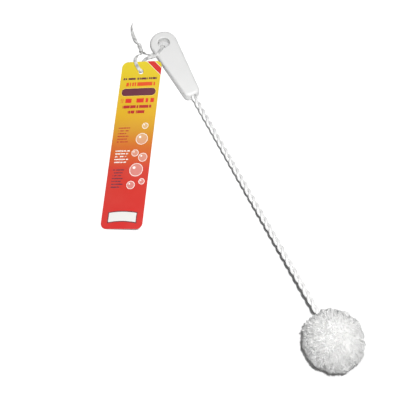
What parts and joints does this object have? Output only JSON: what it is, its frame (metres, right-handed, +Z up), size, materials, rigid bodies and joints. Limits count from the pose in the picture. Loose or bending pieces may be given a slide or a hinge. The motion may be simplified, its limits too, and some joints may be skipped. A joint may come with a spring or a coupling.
{
  "type": "glassware bottle brush",
  "caption": "Long-handled glassware brush lying at rest: tapered plastic handle with a hang hole, twisted coated wire stem, ball-shaped yarn mop, and a card tag on a flat twist tie.",
  "frame": {"origin": "on the floor, below the middle of the brush's own box (handle, stem and mop)", "axes": "+X along the brush from the hang end to the mop, +Z up, the tag lies on the -Y side"},
  "size_m": [0.445, 0.1775, 0.0586],
  "materials": {
    "handle_plastic": "white moulded polypropylene, satin",
    "wire_coating": "white vinyl coating over twisted wire",
    "mop_yarn": "white cut yarn, soft and matt",
    "tie_strip": "white flat strip over a thin wire",
    "tag_card": "glossy printed card, yellow fading through orange to red"
  },
  "bodies": {
    "root": {"handle": "handle_plastic", "stem_wire": "wire_coating", "mop_head": "mop_yarn", "twist_tie": "tie_strip", "hang_tag": "tag_card"}
  },
  "joints": []
}
